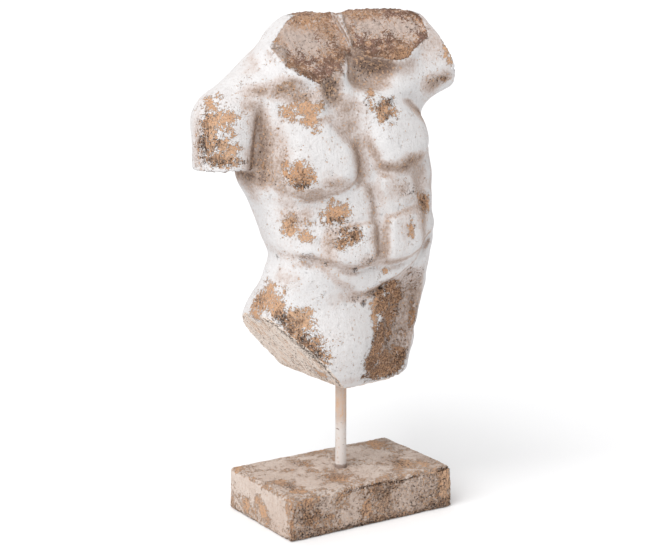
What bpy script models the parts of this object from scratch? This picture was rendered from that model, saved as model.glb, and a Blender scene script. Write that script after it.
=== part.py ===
"""Broken male torso, cast in one piece, on a round rod set in a rectangular block.

Metres, +Z up, +Y to the back. Origin at the middle of the underside of the block.
"""
import bpy
import bmesh
import numpy as np
import openvdb

# Driving dimensions
BASE_WIDTH = 0.180
BASE_DEPTH = 0.112
BASE_HEIGHT = 0.041
BASE_EDGE = 0.0055
BASE_FOOT_EDGE = 0.0022
BASE_FLOOR = 0.011
ROD_DIAMETER = 0.0106
ROD_SHOWN = 0.084
ROD_CHAMFER = 0.0008
MOUTH_GAP = 0.0012
MOUTH_DEPTH = 0.0012
TORSO_HEIGHT = 0.343
SOCKET_DEPTH = 0.060
CLEARANCE = 0.0003

# The torso stands on the rod's shown length, and the rod on the floor left under its hole
TORSO_FOOT = BASE_HEIGHT + ROD_SHOWN
HOLE_DIAMETER = ROD_DIAMETER + 2 * CLEARANCE

# The figure is laid out in parts: 343 of them to its height, from 125 at the lower break to 468 at the neck
FOOT_PARTS = 125.0
TOP_PARTS = 468.0
PART = TORSO_HEIGHT / (TOP_PARTS - FOOT_PARTS)
STEP_PARTS = 3.2
TORSO_TRIANGLES = 8400

# Sections of the trunk: height, middle across, middle front to back, half width, reach forward, reach back
SECTIONS = (
    (110, -8, 12, 76, 40, 52),
    (150, -6, 12, 82, 46, 55),
    (195, -3, 10, 84, 49, 52),
    (215, 2, 5, 83, 47, 49),
    (235, 4, -3, 81, 45, 47),
    (250, 5, -6, 79, 46, 47),
    (270, 3, -5, 84, 46, 50),
    (285, 1, -3, 86, 46, 52),
    (300, 0, 0, 90, 45, 54),
    (320, -4, 2, 96, 44, 55),
    (345, -7, 4, 95, 41, 56),
    (377, -10, 6, 93, 38, 54),
    (400, -8, 8, 94, 38, 46),
    (430, -3, 10, 96, 32, 36),
)
FULLNESS = 2.3
# How far the middle line of the front swings across, by height
MIDLINE = ((120, -10), (212, -8), (240, 3), (262, 6), (300, 6), (320, 2), (345, -3), (370, -14),
           (387, -24), (405, -33), (470, -36))
CHEST_SLOPE = 0.20
# Flat breaks: a point on each and the way it faces
ARM_CUT = ((-115, 12, 333), (0.03, 0, -1))
SHOULDER_CUT = ((105, 0, 424), (0.93, 0, 0.37))
THIGH_CUT = ((-93, 0, 202), (-0.73, -0.03, -0.68))

# Hollows round the foot of the neck: under the left face, between the collar bones, over the right one
NECK_HOLLOWS = (
    ((14, -31, 413), (23, 15, 12)),
    ((46, -38, 412), (20, 9, 8)),
    ((1, -25, 430), (5, 12, 15)),
    ((-30, -47, 395), (12, 14, 17)),
    ((-74, -36, 401), (26, 9, 9)),
)


def union(a, b, k):
    h = np.maximum(k - np.abs(a - b), 0) / k
    return np.minimum(a, b) - h * h * k / 4


def cut(a, b, k):
    """The first without the second, their edge rounded by k."""
    return -union(-a, b, k)


def common(a, b, k):
    return -union(-a, -b, k)


def step(a, b, t):
    t = np.clip((t - a) / (b - a), 0, 1)
    return t * t * (3 - 2 * t)


def curve(t, table):
    """Smooth curve through rows of position and value, level beyond its ends."""
    xs = np.array([row[0] for row in table], float)
    ys = np.array([row[1] for row in table], float)
    slope = np.gradient(ys, xs)
    t = np.clip(t, xs[0], xs[-1])
    i = np.clip(np.searchsorted(xs, t) - 1, 0, len(xs) - 2)
    w = xs[i + 1] - xs[i]
    s = (t - xs[i]) / w
    start = ys[i] * (1 + 2 * s) * (1 - s) ** 2 + slope[i] * w * s * (1 - s) ** 2
    end = ys[i + 1] * s * s * (3 - 2 * s) - slope[i + 1] * w * s * s * (1 - s)
    return start + end


def turn(rx, ry, rz):
    rx, ry, rz = np.radians([rx, ry, rz])
    cx, sx, cy, sy, cz, sz = np.cos(rx), np.sin(rx), np.cos(ry), np.sin(ry), np.cos(rz), np.sin(rz)
    about_x = np.array([[1, 0, 0], [0, cx, -sx], [0, sx, cx]])
    about_y = np.array([[cy, 0, sy], [0, 1, 0], [-sy, 0, cy]])
    about_z = np.array([[cz, -sz, 0], [sz, cz, 0], [0, 0, 1]])
    return about_z @ about_y @ about_x


def ellipsoid(P, centre, radii, tilt=(0, 0, 0)):
    q = (P - np.array(centre, float)) @ turn(*tilt)
    r = np.array(radii, float)
    k0 = np.sqrt(((q / r) ** 2).sum(-1))
    k1 = np.sqrt(((q / (r * r)) ** 2).sum(-1))
    return k0 * (k0 - 1) / np.maximum(k1, 1e-6)


def limb(P, start, end, r_start, r_end):
    a, b = np.array(start, float), np.array(end, float)
    h = np.clip(((P - a) @ (b - a)) / ((b - a) @ (b - a)), 0, 1)
    return np.sqrt(((P - a - h[..., None] * (b - a)) ** 2).sum(-1)) - (r_start + (r_end - r_start) * h)


def beyond(P, point, normal):
    """Inside on the normal's side of a plane."""
    n = np.array(normal, float)
    n = n / np.sqrt((n * n).sum())
    return -((P - np.array(point, float)) @ n)


def trim(d, P, point, normal, k):
    return cut(d, beyond(P, point, normal), k)


def plate(x, z, centre, half, corner, tilt=0.0):
    """Outline of a rounded rectangle on the surface, negative inside."""
    t = np.radians(tilt)
    dx, dz = x - centre[0], z - centre[1]
    u, v = np.cos(t) * dx + np.sin(t) * dz, -np.sin(t) * dx + np.cos(t) * dz
    qx, qz = np.abs(u) - half[0] + corner, np.abs(v) - half[1] + corner
    outside = np.sqrt(np.maximum(qx, 0) ** 2 + np.maximum(qz, 0) ** 2)
    return outside + np.minimum(np.maximum(qx, qz), 0) - corner


def swell(outline, width, height):
    """Rise from a firm outline to full height over the width."""
    t = np.clip(-outline / width, 0, 1)
    return height * (1 - (1 - t) ** 2)


def mound(outline, width, height):
    """Rise with no edge of its own."""
    return height * step(0, width, -outline)


def groove(x, z, line, width, depth):
    best = np.full(x.shape, 1e9)
    for (x0, z0), (x1, z1) in zip(line[:-1], line[1:]):
        h = ((x - x0) * (x1 - x0) + (z - z0) * (z1 - z0)) / ((x1 - x0) ** 2 + (z1 - z0) ** 2)
        h = np.clip(h, 0, 1)
        best = np.minimum(best, (x - x0 - h * (x1 - x0)) ** 2 + (z - z0 - h * (z1 - z0)) ** 2)
    return depth * np.exp(-best / width ** 2)


def section(Z, column):
    return curve(Z, [(row[0], row[column]) for row in SECTIONS])


def trunk(P):
    X, Y, Z = P[..., 0], P[..., 1], P[..., 2]
    x, y = X - section(Z, 1), Y - section(Z, 2)
    a = section(Z, 3)
    b = np.where(y < 0, section(Z, 4), section(Z, 5))
    u, v = np.abs(x) / a, np.abs(y) / b
    k = np.maximum((u ** FULLNESS + v ** FULLNESS) ** (1 / FULLNESS), 1e-3)
    gx = (u / k) ** (FULLNESS - 1) / a
    gy = (v / k) ** (FULLNESS - 1) / b
    return (k - 1) / np.sqrt(gx * gx + gy * gy)


def drawing(P):
    """Across from the middle line and up along the body, the chest tipped down to the figure's right."""
    x = P[..., 0] - curve(P[..., 2], MIDLINE)
    return x, P[..., 2] - CHEST_SLOPE * step(225, 325, P[..., 2]) * x


def front_relief(P):
    x, z = drawing(P)
    m = np.abs(x)
    # belly, two plates each side that run softly into the flank
    soft = 13 + 14 * step(28, 58, m)
    h = swell(plate(m, z, (30, 305), (30, 23), 16, 4), soft, 7.5)
    h = -union(-h, -swell(plate(m, z, (31, 266), (31, 27), 17, -3), soft, 9.5), 3)
    # flank and the ribs over it
    h = -union(-h, -mound(plate(m, z, (74, 260), (24, 25), 18, 14), 22, 5), 3)
    for i in range(3):
        rib = mound(plate(m, z, (68 + 5 * i, 282 + 20 * i), (17, 13), 12, 35), 15, 5)
        h = -union(-h, -rib, 6)
    # chest, full at its lower edge and thin at the collar bone
    outline = plate(m, z, (47, 362), (45, 49), 32, 6)
    soft = step(345, 378, z)
    chest = (1 - soft) * swell(outline, 24, 1) + soft * mound(outline, 34, 1)
    chest = chest * (4 + 12 * step(420, 348, z))
    h = -union(-h, -chest, 4)
    # lower belly
    band = swell(plate(m, z, (24, 232), (38, 11), 10, 24), 12, 5) * step(62, 42, m)
    h = -union(-h, -band, 3)
    # folds under the belly and along the groin
    fade = 1 - 0.7 * step(58, 80, m)
    h = h - fade * groove(m, z, ((2, 242), (26, 242), (48, 249), (70, 257), (82, 259)), 4.5, 2.8)
    return h - fade * groove(m, z, ((0, 214), (12, 217), (32, 227), (52, 243), (68, 256)), 4.5, 3.0)


def back_relief(P):
    x, z = drawing(P)
    m = np.abs(x)
    h = mound(plate(m, z, (50, 368), (40, 48), 36, -14), 44, 8)
    h = -union(-h, -mound(plate(m, z, (21, 285), (20, 95), 18, 3), 20, 6), 6)
    return h - groove(m, z, ((0, 215), (0, 390)), 10, 3.5)


def neck_faces(P):
    """The two slanting breaks at the neck, as cutters."""
    near = common(beyond(P, (-38, -3, 445), (0, -0.74, 0.67)), ellipsoid(P, (-43, -12, 430), (43.5, 60, 200)), 3)
    far = common(beyond(P, (44, -17, 441), (-0.12, -0.74, 0.66)), ellipsoid(P, (43, -12, 430), (38, 60, 200)), 3)
    return near, far


def thigh_scoop(P):
    """The hollow broken out of the left thigh."""
    return ellipsoid(P, (64, -63, 178), (38, 50, 62), (0, 0, 33))


def torso(P):
    """Signed distance of the figure, in parts."""
    y = P[..., 1] - section(P[..., 2], 2)
    d = trunk(P) - front_relief(P) * step(6, -26, y) - back_relief(P) * step(2, 26, y)
    # the top of the trunk falls away to the shoulders and the collar
    d = trim(d, P, (-90, 0, 408), (-0.52, -0.35, 0.80), 24)
    d = trim(d, P, (60, 0, 436), (0.10, -0.55, 0.80), 24)
    # hips and lower front
    d = union(d, ellipsoid(P, (-42, 34, 176), (38, 36, 46)), 14)
    d = union(d, ellipsoid(P, (34, 34, 180), (38, 34, 46)), 14)
    d = union(d, ellipsoid(P, (-20, -19, 168), (46, 30, 44)), 10)
    # line of the shoulders
    ridge = limb(P, (-111, 13, 373), (-32, 16, 427), 31, 33)
    ridge = union(ridge, limb(P, (-32, 16, 427), (70, 14, 434), 33, 33), 10)
    ridge = union(ridge, limb(P, (70, 14, 434), (108, 8, 422), 33, 29), 10)
    d = union(d, ridge, 14)
    # right arm, broken off level
    arm = limb(P, (-113, 12, 373), (-114, 11, 300), 31, 30)
    arm = trim(arm, P, *ARM_CUT, 3)
    d = union(d, arm, 5)
    d = cut(d, ellipsoid(P, (-97, -28, 356), (5.5, 15, 40), (0, 4, 0)), 8)
    # left arm, broken off at the shoulder
    d = union(d, limb(P, (76, 2, 404), (110, 0, 422), 27, 27), 12)
    d = trim(d, P, *SHOULDER_CUT, 3)
    # the collar sinks in front of the neck
    d = cut(d, ellipsoid(P, (-8, -54, 430), (60, 34, 32)), 12)
    # neck and the broken mass beside it
    near = common(ellipsoid(P, (-38, -1, 430), (43, 36, 200)), 385 - P[..., 2], 4)
    near = trim(near, P, (-54, 0, 455), (-0.50, 0, 0.87), 4)
    far = common(ellipsoid(P, (41, 0, 430), (37, 31, 200)), 395 - P[..., 2], 4)
    d = union(union(d, near, 8), far, 8)
    near_face, far_face = neck_faces(P)
    d = cut(cut(d, near_face, 2.5), far_face, 2.5)
    # low ridge left between the two faces, and the hollows under them down to the collar bones
    between = common(beyond(P, (0, -3, 454), (0, -0.74, 0.67)), ellipsoid(P, (0, -6, 450), (30, 44, 200)), 3)
    d = cut(d, between, 3)
    for centre, radii in NECK_HOLLOWS:
        d = cut(d, ellipsoid(P, centre, radii), 10)
    d = trim(d, P, (0, 0, TOP_PARTS), (0, 0, 1), 6)
    # right thigh sawn away, left thigh broken out
    d = trim(d, P, *THIGH_CUT, 4)
    d = cut(d, thigh_scoop(P), 3)
    d = union(d, limb(P, (74, -16, 214), (68, -4, 156), 6, 7), 9)
    d = cut(d, ellipsoid(P, (85, -8, 168), (12, 26, 7)), 3)
    d = cut(d, ellipsoid(P, (-7, 68, 146), (6, 24, 56)), 14)
    return trim(d, P, (0, 0, FOOT_PARTS), (0, 0, -1), 8)


def link(name, mesh):
    obj = bpy.data.objects.new(name, mesh)
    bpy.context.scene.collection.objects.link(obj)
    return obj


def apply_modifiers(obj):
    bpy.context.view_layer.update()
    graph = bpy.context.evaluated_depsgraph_get()
    mesh = bpy.data.meshes.new_from_object(obj.evaluated_get(graph))
    mesh.name = obj.name
    obj.modifiers.clear()
    obj.data = mesh


def finish_material(obj, colour, roughness):
    mat = bpy.data.materials.new(obj.name + "_finish")
    mat.use_nodes = True
    shader = mat.node_tree.nodes["Principled BSDF"]
    shader.inputs["Base Color"].default_value = (*colour, 1.0)
    shader.inputs["Roughness"].default_value = roughness
    obj.data.materials.clear()
    obj.data.materials.append(mat)


def round_bar(name, diameter, low, high, segments=48):
    bm = bmesh.new()
    bmesh.ops.create_cone(bm, cap_ends=True, segments=segments, radius1=diameter / 2,
                          radius2=diameter / 2, depth=high - low)
    for v in bm.verts:
        v.co.z += (low + high) / 2
    mesh = bpy.data.meshes.new(name)
    bm.to_mesh(mesh)
    bm.free()
    return link(name, mesh)


def as_cutter(obj):
    obj.hide_render = True
    obj.display_type = "WIRE"
    return obj


def subtract(obj, cutter):
    mod = obj.modifiers.new("Hole", "BOOLEAN")
    mod.operation = "DIFFERENCE"
    mod.solver = "EXACT"
    mod.object = cutter
    apply_modifiers(obj)
    bpy.data.objects.remove(cutter, do_unlink=True)


def shade(obj, smooth):
    obj.data.polygons.foreach_set("use_smooth", [smooth] * len(obj.data.polygons))
    obj.data.update()


def make_torso():
    low = np.array([-156.0, -74.0, 116.0])
    high = np.array([130.0, 86.0, 478.0])
    axes = [np.arange(low[i], high[i], STEP_PARTS) for i in range(3)]
    P = np.stack(np.meshgrid(*axes, indexing="ij"), -1)
    distance = torso(P).astype(np.float32)
    grid = openvdb.FloatGrid(float(distance.max()))
    grid.copyFromArray(distance)
    points, quads = grid.convertToQuads(0.0)
    points = (points * STEP_PARTS + low - np.array([0, 0, FOOT_PARTS])) * PART
    points[:, 2] = np.maximum(points[:, 2], 0) + TORSO_FOOT
    mesh = bpy.data.meshes.new("torso")
    mesh.from_pydata(points.tolist(), [], quads[:, ::-1].tolist())
    bm = bmesh.new()
    bm.from_mesh(mesh)
    bmesh.ops.recalc_face_normals(bm, faces=bm.faces)
    bm.to_mesh(mesh)
    bm.free()
    obj = link("torso", mesh)
    mod = obj.modifiers.new("Facets", "DECIMATE")
    mod.ratio = TORSO_TRIANGLES / (2 * len(quads))
    mod.use_collapse_triangulate = True
    apply_modifiers(obj)
    hole = round_bar("torso_socket", HOLE_DIAMETER, TORSO_FOOT - 0.010,
                     TORSO_FOOT + SOCKET_DEPTH + CLEARANCE)
    subtract(obj, as_cutter(hole))
    shade(obj, True)
    finish_material(obj, (0.80, 0.76, 0.72), 0.85)
    return obj


def make_rod():
    obj = round_bar("rod", ROD_DIAMETER, BASE_FLOOR + CLEARANCE, TORSO_FOOT + SOCKET_DEPTH)
    mod = obj.modifiers.new("Ends", "BEVEL")
    mod.width = ROD_CHAMFER
    mod.segments = 1
    mod.limit_method = "ANGLE"
    mod.angle_limit = 1.0
    apply_modifiers(obj)
    shade(obj, True)
    finish_material(obj, (0.72, 0.64, 0.55), 0.6)
    return obj


def make_base():
    bm = bmesh.new()
    bmesh.ops.create_cube(bm, size=1.0)
    for v in bm.verts:
        v.co.x *= BASE_WIDTH
        v.co.y *= BASE_DEPTH
        v.co.z = (v.co.z + 0.5) * BASE_HEIGHT
    widest = max(BASE_EDGE, BASE_FOOT_EDGE)
    weight = bm.edges.layers.float.new("bevel_weight_edge")
    for e in bm.edges:
        foot = all(v.co.z < BASE_HEIGHT / 2 for v in e.verts)
        e[weight] = (BASE_FOOT_EDGE if foot else BASE_EDGE) / widest
    mesh = bpy.data.meshes.new("base")
    bm.to_mesh(mesh)
    bm.free()
    obj = link("base", mesh)
    mod = obj.modifiers.new("Edges", "BEVEL")
    mod.width = widest
    mod.segments = 4
    mod.limit_method = "WEIGHT"
    apply_modifiers(obj)
    hole = round_bar("base_hole", HOLE_DIAMETER, BASE_FLOOR, BASE_HEIGHT + 0.010)
    subtract(obj, as_cutter(hole))
    mouth = round_bar("base_mouth", HOLE_DIAMETER + 2 * MOUTH_GAP, BASE_HEIGHT - MOUTH_DEPTH, BASE_HEIGHT + 0.005)
    subtract(obj, as_cutter(mouth))
    shade(obj, False)
    finish_material(obj, (0.62, 0.48, 0.36), 0.9)
    return obj


for old in list(bpy.data.objects):
    bpy.data.objects.remove(old, do_unlink=True)

make_torso()
make_rod()
make_base()
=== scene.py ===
"""Weathered broken torso cast on a rod and block: surfaces, finishes, light and camera.

Metres, +Z up, +Y to the figure's back. Origin at the middle of the underside of the block.
"""
import math

import bmesh
import bpy
import numpy as np
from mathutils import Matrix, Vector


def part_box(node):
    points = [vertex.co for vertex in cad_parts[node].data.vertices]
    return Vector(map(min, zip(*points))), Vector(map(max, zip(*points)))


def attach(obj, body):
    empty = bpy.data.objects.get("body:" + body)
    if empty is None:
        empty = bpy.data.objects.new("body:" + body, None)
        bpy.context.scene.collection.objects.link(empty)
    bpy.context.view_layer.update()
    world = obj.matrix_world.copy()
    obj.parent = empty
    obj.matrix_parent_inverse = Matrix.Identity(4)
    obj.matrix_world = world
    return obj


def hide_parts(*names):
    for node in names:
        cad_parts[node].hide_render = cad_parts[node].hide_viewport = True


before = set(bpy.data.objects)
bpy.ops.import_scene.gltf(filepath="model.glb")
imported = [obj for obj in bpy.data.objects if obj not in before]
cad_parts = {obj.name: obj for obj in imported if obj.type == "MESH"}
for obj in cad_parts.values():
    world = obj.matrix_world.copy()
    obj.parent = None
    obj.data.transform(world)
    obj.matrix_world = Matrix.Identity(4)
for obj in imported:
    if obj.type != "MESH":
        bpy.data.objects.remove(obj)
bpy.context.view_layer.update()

import openvdb
from bpy.props import FloatProperty, FloatVectorProperty, IntProperty, PointerProperty
from mathutils import Matrix, Vector

bl_info = {
    "name": "Weathered torso on a block",
    "version": (1, 0, 0),
    "blender": (4, 5, 0),
    "location": "View3D > Sidebar > Torso",
    "description": "Broken torso cast with a flaked white wash, on a rod and a worn block",
    "category": "Add Mesh",
}

# The figure is laid out in parts: 343 of them to its height, from 125 at the lower break to 468 at the neck
FOOT_PARTS = 125.0
TOP_PARTS = 468.0
TORSO_LOW, TORSO_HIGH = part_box("torso")
ROD_LOW, ROD_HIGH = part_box("rod")
BASE_LOW, BASE_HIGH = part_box("base")
PART = (TORSO_HIGH.z - TORSO_LOW.z) / (TOP_PARTS - FOOT_PARTS)
FEWEST_FACES = 1000  # a piece with fewer has come out wrong
# Block: radius along its foot, depth of the chips, depth of the dip round the rod and its reach past it
FOOT_EDGE, CHIP_DEPTH, MOUTH_DEPTH, MOUTH_GAP = 0.0020, 0.0034, 0.0012, 0.0015
# Camera: where it stands round the object, its lens, and what it looks at: height, then aside and up in view
AZIMUTH, ELEVATION, DISTANCE, LENS = math.radians(-32.67), math.radians(12.12), 1.5824, 95.15
AIM_HEIGHT, AIM_ASIDE, AIM_UP = 0.25, 0.0149, 0.0243
# Where the sun shines to, how wide it is, and half the width of the floor
SUN_WAY, SUN_SPREAD, FLOOR_REACH = (0.72, 0.30, -0.80), math.radians(48), 400

# Sections of the trunk: height, middle across, middle front to back, half width, reach forward, reach back
SECTIONS = (
    (110, -8, 12, 76, 40, 52),
    (150, -6, 12, 82, 46, 55),
    (195, -3, 10, 84, 49, 52),
    (215, 2, 5, 83, 47, 49),
    (235, 4, -3, 81, 45, 47),
    (250, 5, -6, 79, 46, 47),
    (270, 3, -5, 84, 46, 50),
    (285, 1, -3, 86, 46, 52),
    (300, 0, 0, 90, 45, 54),
    (320, -4, 2, 96, 44, 55),
    (345, -7, 4, 95, 41, 56),
    (377, -10, 6, 93, 38, 54),
    (400, -8, 8, 94, 38, 46),
    (430, -3, 10, 96, 32, 36),
)
FULLNESS = 2.3
# How far the middle line of the front swings across, by height
MIDLINE = ((120, -10), (212, -8), (240, 3), (262, 6), (300, 6), (320, 2), (345, -3), (370, -14),
           (387, -24), (405, -33), (470, -36))
CHEST_SLOPE = 0.20
# Flat breaks: a point on each and the way it faces
ARM_CUT = ((-115, 12, 333), (0.03, 0, -1))
SHOULDER_CUT = ((105, 0, 424), (0.93, 0, 0.37))
THIGH_CUT = ((-93, 0, 202), (-0.73, -0.03, -0.68))
NEAR_WAY, FAR_WAY = (0, -0.74, 0.67), (-0.12, -0.74, 0.66)  # the way the two neck faces look

# Hollows round the foot of the neck: under the left face, between the collar bones, over the right one
NECK_HOLLOWS = (
    ((14, -31, 413), (23, 15, 12)),
    ((46, -38, 412), (20, 9, 8)),
    ((1, -25, 430), (5, 12, 15)),
    ((-30, -47, 395), (12, 14, 17)),
    ((-74, -36, 401), (26, 9, 9)),
)


def union(a, b, k):
    """Smooth least: two solids together, the seam between them filled."""
    h = np.maximum(k - np.abs(a - b), 0) / k
    return np.minimum(a, b) - h * h * k / 4


def common(a, b, k):
    """Smooth greatest: what two solids share, or the higher of two reliefs."""
    return -union(-a, -b, k)


def cut(a, b, k):
    """The first without the second, their edge rounded by k."""
    return common(a, -b, k)


def unit(t):
    return np.clip(t, 0, 1)


def step(a, b, t):
    t = unit((t - a) / (b - a))
    return t * t * (3 - 2 * t)


def curve(t, table):
    """Smooth curve through rows of position and value, level beyond its ends."""
    xs = np.array([row[0] for row in table], float)
    ys = np.array([row[1] for row in table], float)
    slope = np.gradient(ys, xs)
    t = np.clip(t, xs[0], xs[-1])
    i = np.clip(np.searchsorted(xs, t) - 1, 0, len(xs) - 2)
    w = xs[i + 1] - xs[i]
    s = (t - xs[i]) / w
    start = ys[i] * (1 + 2 * s) * (1 - s) ** 2 + slope[i] * w * s * (1 - s) ** 2
    end = ys[i + 1] * s * s * (3 - 2 * s) - slope[i + 1] * w * s * s * (1 - s)
    return start + end


def turn(rx, ry, rz):
    rx, ry, rz = np.radians([rx, ry, rz])
    cx, sx, cy, sy, cz, sz = np.cos(rx), np.sin(rx), np.cos(ry), np.sin(ry), np.cos(rz), np.sin(rz)
    about_x = np.array([[1, 0, 0], [0, cx, -sx], [0, sx, cx]])
    about_y = np.array([[cy, 0, sy], [0, 1, 0], [-sy, 0, cy]])
    about_z = np.array([[cz, -sz, 0], [sz, cz, 0], [0, 0, 1]])
    return about_z @ about_y @ about_x


def ellipsoid(P, centre, radii, tilt=(0, 0, 0)):
    q = (P - np.array(centre, float)) @ turn(*tilt)
    r = np.array(radii, float)
    k0 = np.sqrt(((q / r) ** 2).sum(-1))
    k1 = np.sqrt(((q / (r * r)) ** 2).sum(-1))
    return k0 * (k0 - 1) / np.maximum(k1, 1e-6)


def limb(P, start, end, r_start, r_end):
    a, b = np.array(start, float), np.array(end, float)
    h = unit(((P - a) @ (b - a)) / ((b - a) @ (b - a)))
    return np.sqrt(((P - a - h[..., None] * (b - a)) ** 2).sum(-1)) - (r_start + (r_end - r_start) * h)


def beyond(P, point, normal):
    """Inside on the normal's side of a plane."""
    n = np.array(normal, float)
    n = n / np.sqrt((n * n).sum())
    return -((P - np.array(point, float)) @ n)


def trim(d, P, point, normal, k):
    return cut(d, beyond(P, point, normal), k)


def plate(x, z, centre, half, corner, tilt=0.0):
    """Outline of a rounded rectangle on the surface, negative inside."""
    t = np.radians(tilt)
    dx, dz = x - centre[0], z - centre[1]
    u, v = np.cos(t) * dx + np.sin(t) * dz, -np.sin(t) * dx + np.cos(t) * dz
    qx, qz = np.abs(u) - half[0] + corner, np.abs(v) - half[1] + corner
    outside = np.sqrt(np.maximum(qx, 0) ** 2 + np.maximum(qz, 0) ** 2)
    return outside + np.minimum(np.maximum(qx, qz), 0) - corner


def swell(outline, width, height):
    """Rise from a firm outline to full height over the width."""
    t = unit(-outline / width)
    return height * (1 - (1 - t) ** 2)


def mound(outline, width, height):
    """Rise with no edge of its own."""
    return height * step(0, width, -outline)


def groove(x, z, line, width, depth):
    best = np.full(x.shape, 1e9)
    for (x0, z0), (x1, z1) in zip(line[:-1], line[1:]):
        h = ((x - x0) * (x1 - x0) + (z - z0) * (z1 - z0)) / ((x1 - x0) ** 2 + (z1 - z0) ** 2)
        h = unit(h)
        best = np.minimum(best, (x - x0 - h * (x1 - x0)) ** 2 + (z - z0 - h * (z1 - z0)) ** 2)
    return depth * np.exp(-best / width ** 2)


def section(Z, column):
    return curve(Z, [(row[0], row[column]) for row in SECTIONS])


def trunk(P):
    X, Y, Z = P[..., 0], P[..., 1], P[..., 2]
    x, y = X - section(Z, 1), Y - section(Z, 2)
    a = section(Z, 3)
    b = np.where(y < 0, section(Z, 4), section(Z, 5))
    u, v = np.abs(x) / a, np.abs(y) / b
    k = np.maximum((u ** FULLNESS + v ** FULLNESS) ** (1 / FULLNESS), 1e-3)
    gx = (u / k) ** (FULLNESS - 1) / a
    gy = (v / k) ** (FULLNESS - 1) / b
    return (k - 1) / np.sqrt(gx * gx + gy * gy)


def drawing(P):
    """Across from the middle line and up along the body, the chest tipped down to the figure's right."""
    x = P[..., 0] - curve(P[..., 2], MIDLINE)
    return x, P[..., 2] - CHEST_SLOPE * step(225, 325, P[..., 2]) * x


def front_relief(P):
    x, z = drawing(P)
    m = np.abs(x)
    # belly, two plates each side that run softly into the flank
    soft = 13 + 14 * step(28, 58, m)
    h = swell(plate(m, z, (30, 305), (30, 23), 16, 4), soft, 7.5)
    h = common(h, swell(plate(m, z, (31, 266), (31, 27), 17, -3), soft, 9.5), 3)
    # flank and the ribs over it
    h = common(h, mound(plate(m, z, (74, 260), (24, 25), 18, 14), 22, 5), 3)
    for i in range(3):
        h = common(h, mound(plate(m, z, (68 + 5 * i, 282 + 20 * i), (17, 13), 12, 35), 15, 5), 6)
    # chest, full at its lower edge and thin at the collar bone
    outline = plate(m, z, (47, 362), (45, 49), 32, 6)
    soft = step(345, 378, z)
    chest = (1 - soft) * swell(outline, 24, 1) + soft * mound(outline, 34, 1)
    h = common(h, chest * (4 + 12 * step(420, 348, z)), 4)
    # lower belly
    h = common(h, swell(plate(m, z, (24, 232), (38, 11), 10, 24), 12, 5) * step(62, 42, m), 3)
    # folds under the belly and along the groin
    fade = 1 - 0.7 * step(58, 80, m)
    h = h - fade * groove(m, z, ((2, 242), (26, 242), (48, 249), (70, 257), (82, 259)), 4.5, 2.8)
    return h - fade * groove(m, z, ((0, 214), (12, 217), (32, 227), (52, 243), (68, 256)), 4.5, 3.0)


def back_relief(P):
    x, z = drawing(P)
    m = np.abs(x)
    h = mound(plate(m, z, (50, 368), (40, 48), 36, -14), 44, 8)
    h = common(h, mound(plate(m, z, (21, 285), (20, 95), 18, 3), 20, 6), 6)
    return h - groove(m, z, ((0, 215), (0, 390)), 10, 3.5)


def neck_cutter(P, point, way, centre, radii):
    return common(beyond(P, point, way), ellipsoid(P, centre, radii), 3)


def neck_faces(P):
    """The two slanting breaks at the neck, as cutters."""
    return (neck_cutter(P, (-38, -3, 445), NEAR_WAY, (-43, -12, 430), (43.5, 60, 200)),
            neck_cutter(P, (44, -17, 441), FAR_WAY, (43, -12, 430), (38, 60, 200)))


def thigh_scoop(P):
    """The hollow broken out of the left thigh."""
    return ellipsoid(P, (64, -63, 178), (38, 50, 62), (0, 0, 33))


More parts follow.
